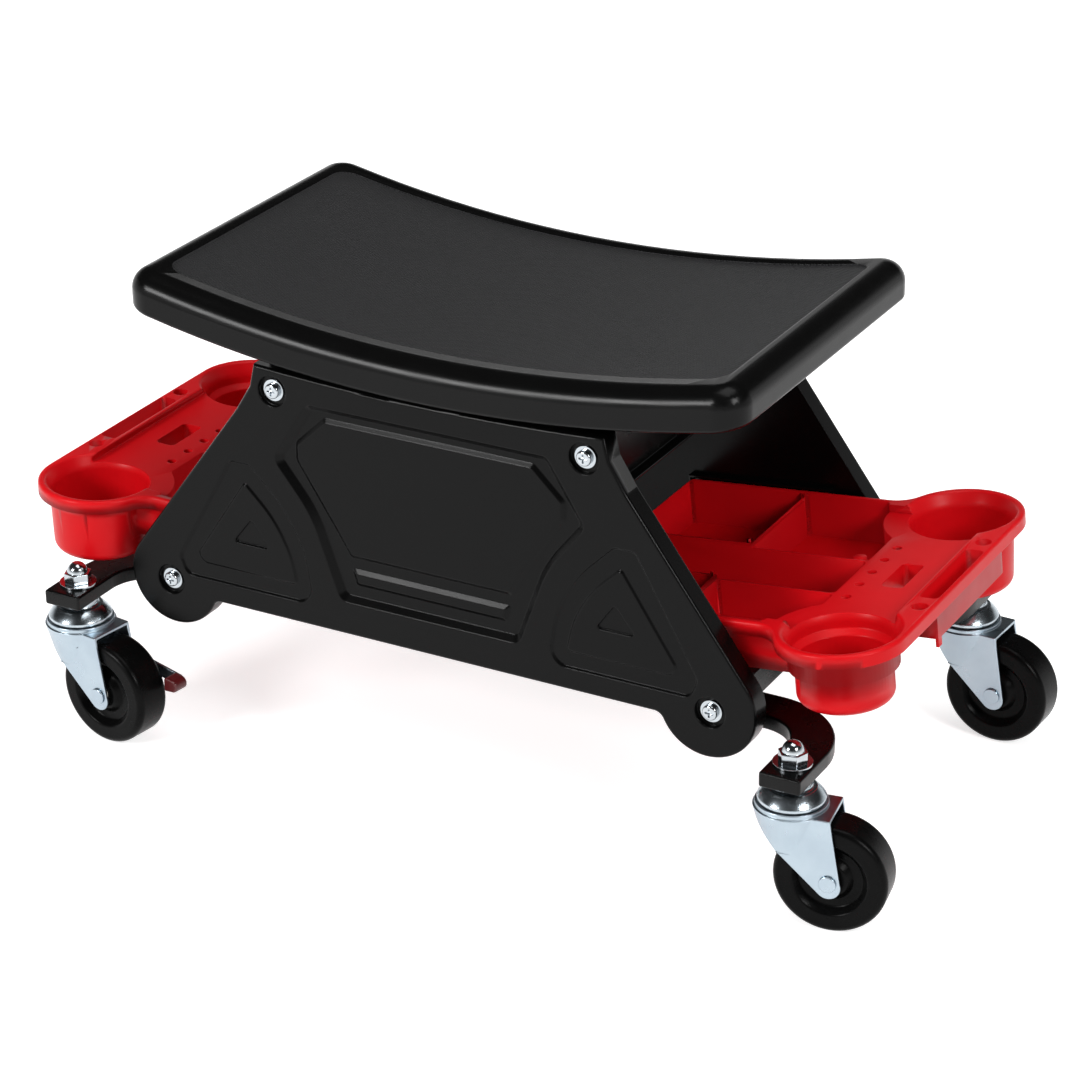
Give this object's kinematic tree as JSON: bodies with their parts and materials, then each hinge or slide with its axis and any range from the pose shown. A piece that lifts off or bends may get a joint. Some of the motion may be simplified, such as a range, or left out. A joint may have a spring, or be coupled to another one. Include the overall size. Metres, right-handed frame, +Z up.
{
  "type": "rolling creeper seat with tool trays",
  "caption": "Low rolling work seat: curved black seat on two embossed side panels, red slide-out trays with cup holders at both ends, and swivel casters on curved arms.",
  "frame": {"origin": "on the floor, midway between the four caster studs", "axes": "+X along the seat to its right end, +Y to the rear side panel, +Z up"},
  "size_m": [0.7221, 0.3652, 0.3742],
  "materials": {
    "seat_plastic": "moulded black, satin rim and a finely textured top",
    "panel_plastic": "moulded black with a satin sheen",
    "tray_plastic": "moulded red with a satin sheen",
    "black_steel": "black powder coat",
    "zinc_steel": "bright zinc plate",
    "bearing_steel": "polished",
    "wheel_plastic": "hard black wheel, satin",
    "bush_plastic": "plain",
    "pedal_plastic": "dark red, satin"
  },
  "bodies": {
    "frame": {"seat": "seat_plastic", "seat_bolts": "zinc_steel", "side_panel_front": "panel_plastic", "side_panel_rear": "panel_plastic", "panel_screws": "zinc_steel", "panel_washers": "zinc_steel", "weld_nuts": "zinc_steel", "upper_cross_member_right": "black_steel", "upper_cross_member_left": "black_steel", "lower_crossbar_right": "black_steel", "lower_crossbar_left": "black_steel", "caster_arm_front_left": "black_steel", "caster_arm_front_right": "black_steel", "caster_arm_rear_left": "black_steel", "caster_arm_rear_right": "black_steel", "caster_studs": "zinc_steel", "stud_washers": "zinc_steel", "acorn_nuts": "zinc_steel", "raceway_cups": "zinc_steel", "runner_right_rear": "black_steel", "runner_right_front": "black_steel", "runner_left_rear": "black_steel", "runner_left_front": "black_steel", "runner_screws": "zinc_steel"},
    "swivel_front_left": {"fork_front_left": "zinc_steel", "swivel_balls_front_left": "bearing_steel", "axle_front_left": "zinc_steel", "brake_pin_front_left": "zinc_steel"},
    "wheel_front_left": {"wheel_front_left": "wheel_plastic", "wheel_bush_front_left": "bush_plastic"},
    "brake_front_left": {"brake_lever_front_left": "zinc_steel", "brake_pedal_front_left": "pedal_plastic"},
    "swivel_front_right": {"fork_front_right": "zinc_steel", "swivel_balls_front_right": "bearing_steel", "axle_front_right": "zinc_steel"},
    "wheel_front_right": {"wheel_front_right": "wheel_plastic", "wheel_bush_front_right": "bush_plastic"},
    "swivel_rear_left": {"fork_rear_left": "zinc_steel", "swivel_balls_rear_left": "bearing_steel", "axle_rear_left": "zinc_steel", "brake_pin_rear_left": "zinc_steel"},
    "wheel_rear_left": {"wheel_rear_left": "wheel_plastic", "wheel_bush_rear_left": "bush_plastic"},
    "brake_rear_left": {"brake_lever_rear_left": "zinc_steel", "brake_pedal_rear_left": "pedal_plastic"},
    "swivel_rear_right": {"fork_rear_right": "zinc_steel", "swivel_balls_rear_right": "bearing_steel", "axle_rear_right": "zinc_steel"},
    "wheel_rear_right": {"wheel_rear_right": "wheel_plastic", "wheel_bush_rear_right": "bush_plastic"},
    "tray_right": {"tray_right": "tray_plastic"},
    "tray_left": {"tray_left": "tray_plastic"}
  },
  "joints": [
    {"name": "swivel_turn_front_left", "type": "hinge", "parent": "frame", "child": "swivel_front_left", "pos_m": [-0.2955, -0.1556, 0.0886], "axis": [0, 0, 1], "continuous": true},
    {"name": "wheel_spin_front_left", "type": "hinge", "parent": "swivel_front_left", "child": "wheel_front_left", "pos_m": [-0.26443, -0.16013, 0.0405], "axis": [0.1444, 0.9895, 0], "continuous": true},
    {"name": "brake_tip_front_left", "type": "hinge", "parent": "swivel_front_left", "child": "brake_front_left", "pos_m": [-0.26587, -0.13951, 0.0586], "axis": [0.1444, 0.9895, 0], "range_deg": [0, 10]},
    {"name": "swivel_turn_front_right", "type": "hinge", "parent": "frame", "child": "swivel_front_right", "pos_m": [0.2955, -0.1556, 0.0886], "axis": [0, 0, 1], "continuous": true},
    {"name": "wheel_spin_front_right", "type": "hinge", "parent": "swivel_front_right", "child": "wheel_front_right", "pos_m": [0.32648, -0.15047, 0.0405], "axis": [-0.1633, 0.9866, 0], "continuous": true},
    {"name": "swivel_turn_rear_left", "type": "hinge", "parent": "frame", "child": "swivel_rear_left", "pos_m": [-0.2955, 0.1556, 0.0886], "axis": [0, 0, 1], "continuous": true},
    {"name": "wheel_spin_rear_left", "type": "hinge", "parent": "swivel_rear_left", "child": "wheel_rear_left", "pos_m": [-0.2641, 0.1556, 0.0405], "axis": [0, 1, 0], "continuous": true},
    {"name": "brake_tip_rear_left", "type": "hinge", "parent": "swivel_rear_left", "child": "brake_rear_left", "pos_m": [-0.2685, 0.1758, 0.0586], "axis": [0, 1, 0], "range_deg": [0, 10]},
    {"name": "swivel_turn_rear_right", "type": "hinge", "parent": "frame", "child": "swivel_rear_right", "pos_m": [0.2955, 0.1556, 0.0886], "axis": [0, 0, 1], "continuous": true},
    {"name": "wheel_spin_rear_right", "type": "hinge", "parent": "swivel_rear_right", "child": "wheel_rear_right", "pos_m": [0.32687, 0.15429, 0.0405], "axis": [0.0419, 0.9991, 0], "continuous": true},
    {"name": "tray_slide_right", "type": "slide", "parent": "frame", "child": "tray_right", "axis": [0.9945, 0, 0.1045], "range_m": [0, 0.09]},
    {"name": "tray_slide_left", "type": "slide", "parent": "frame", "child": "tray_left", "axis": [-0.9996, 0, 0.0297], "range_m": [0, 0.09]}
  ]
}
